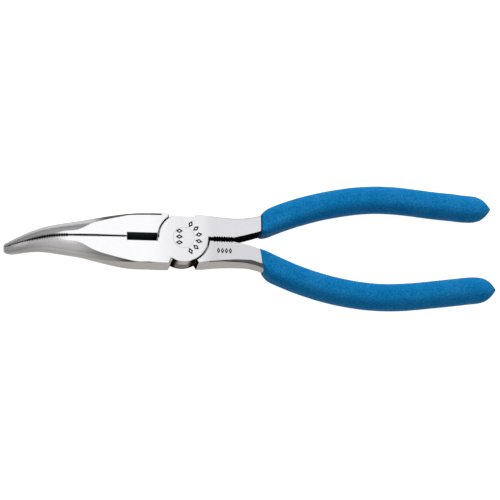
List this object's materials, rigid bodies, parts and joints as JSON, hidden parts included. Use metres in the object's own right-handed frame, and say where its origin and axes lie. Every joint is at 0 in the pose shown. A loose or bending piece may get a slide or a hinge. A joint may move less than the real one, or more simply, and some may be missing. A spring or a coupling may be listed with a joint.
{
  "type": "needle nose pliers",
  "caption": "Bent long-nose pliers with a lap joint, side cutters, toothed jaws, crimping teeth and dipped blue grips.",
  "frame": {"origin": "on the pivot axis, on the plane of the back faces that the closed pliers rest on", "axes": "+X along the tool towards the handles, +Y towards the upper handle, +Z out of the front face"},
  "size_m": [0.203, 0.0527, 0.011],
  "materials": {
    "steel": "ground and polished faces, darker ground edges",
    "rivet_steel": "ground flush with the faces",
    "grip_vinyl": "semi-matt dipped vinyl with a fine orange-peel surface"
  },
  "bodies": {
    "front_half": {"front_lever": "steel", "rivet": "rivet_steel", "upper_grip": "grip_vinyl"},
    "back_half": {"back_lever": "steel", "lower_grip": "grip_vinyl"}
  },
  "joints": [
    {"name": "pivot", "type": "hinge", "parent": "front_half", "child": "back_half", "pos_m": [0, 0, 0], "axis": [0, 0, -1], "range_deg": [0, 50]}
  ]
}
